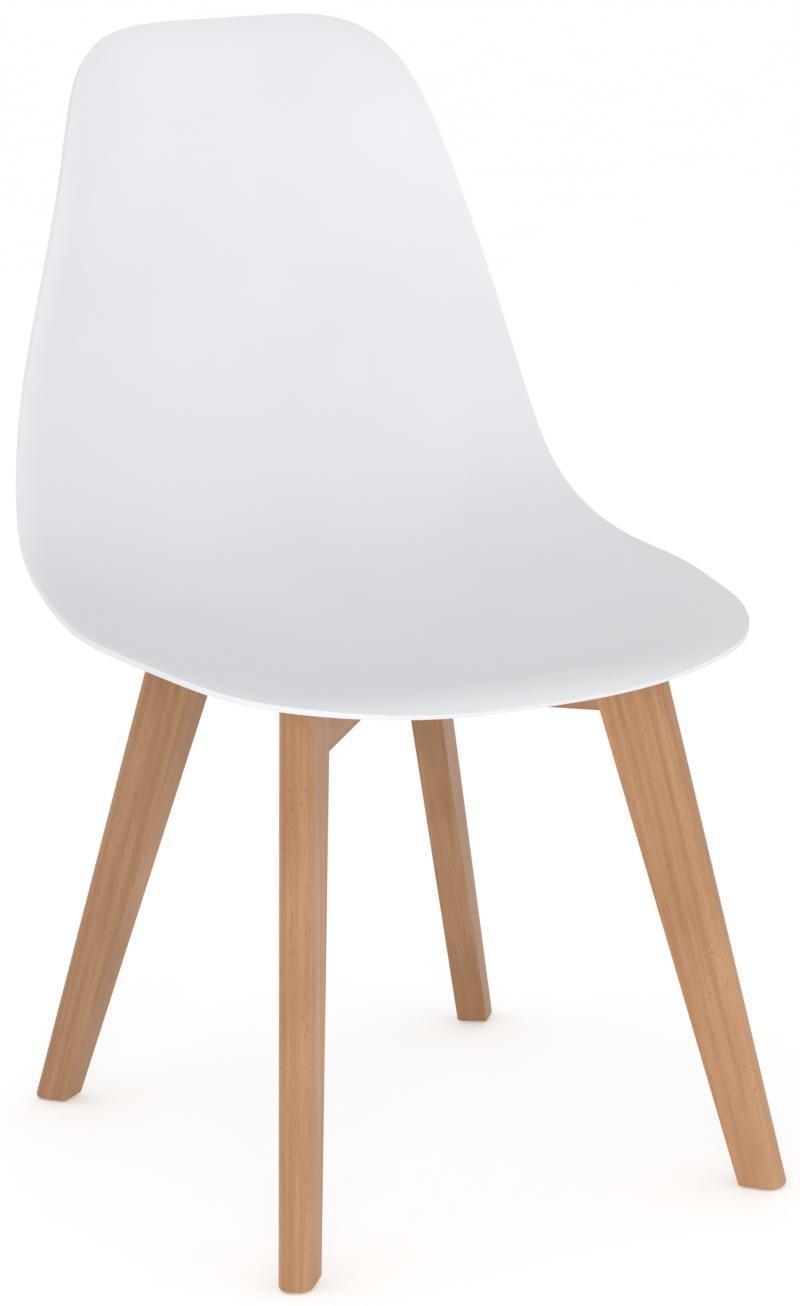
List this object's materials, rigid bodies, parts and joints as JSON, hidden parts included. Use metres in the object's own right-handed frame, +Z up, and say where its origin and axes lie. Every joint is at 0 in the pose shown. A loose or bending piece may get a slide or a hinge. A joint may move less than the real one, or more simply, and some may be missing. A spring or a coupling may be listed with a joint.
{
  "type": "dining chair",
  "caption": "Dining chair with a one-piece moulded plastic shell on a crossed beech frame with splayed, tapering board legs.",
  "frame": {"origin": "on the floor, under the middle of the chair, 12 mm in front of the crossing of the two rails", "axes": "+Z up; the sitter faces -Y; +X to the sitter's left"},
  "size_m": [0.471, 0.5303, 0.8279],
  "materials": {
    "shell": "matt moulded polypropylene, white",
    "beech": "clear satin lacquer on steamed beech",
    "beech_dowel": "bare turned beech",
    "zinc_steel": "bright zinc plate",
    "brass_insert": "turned brass",
    "rubber_pad": "matt black rubber",
    "glide": "brown nylon"
  },
  "bodies": {
    "root": {"seat_shell": "shell", "leg_front_left": "beech", "leg_front_right": "beech", "leg_rear_left": "beech", "leg_rear_right": "beech", "rail_front_left_to_rear_right": "beech", "rail_front_right_to_rear_left": "beech", "leg_dowel_front_left_lower": "beech_dowel", "leg_dowel_front_left_upper": "beech_dowel", "leg_dowel_front_right_lower": "beech_dowel", "leg_dowel_front_right_upper": "beech_dowel", "leg_dowel_rear_left_lower": "beech_dowel", "leg_dowel_rear_left_upper": "beech_dowel", "leg_dowel_rear_right_lower": "beech_dowel", "leg_dowel_rear_right_upper": "beech_dowel", "cross_screw": "zinc_steel", "shell_screw_front_left": "zinc_steel", "shell_screw_front_right": "zinc_steel", "shell_screw_rear_left": "zinc_steel", "shell_screw_rear_right": "zinc_steel", "washer_front_left": "zinc_steel", "washer_front_right": "zinc_steel", "washer_rear_left": "zinc_steel", "washer_rear_right": "zinc_steel", "spring_washer_front_left": "zinc_steel", "spring_washer_front_right": "zinc_steel", "spring_washer_rear_left": "zinc_steel", "spring_washer_rear_right": "zinc_steel", "spacer_pad_front_left": "rubber_pad", "spacer_pad_front_right": "rubber_pad", "spacer_pad_rear_left": "rubber_pad", "spacer_pad_rear_right": "rubber_pad", "threaded_insert_front_left": "brass_insert", "threaded_insert_front_right": "brass_insert", "threaded_insert_rear_left": "brass_insert", "threaded_insert_rear_right": "brass_insert", "foot_glide_front_left": "glide", "foot_glide_front_right": "glide", "foot_glide_rear_left": "glide", "foot_glide_rear_right": "glide", "glide_nail_front_left": "zinc_steel", "glide_nail_front_right": "zinc_steel", "glide_nail_rear_left": "zinc_steel", "glide_nail_rear_right": "zinc_steel"}
  },
  "joints": []
}
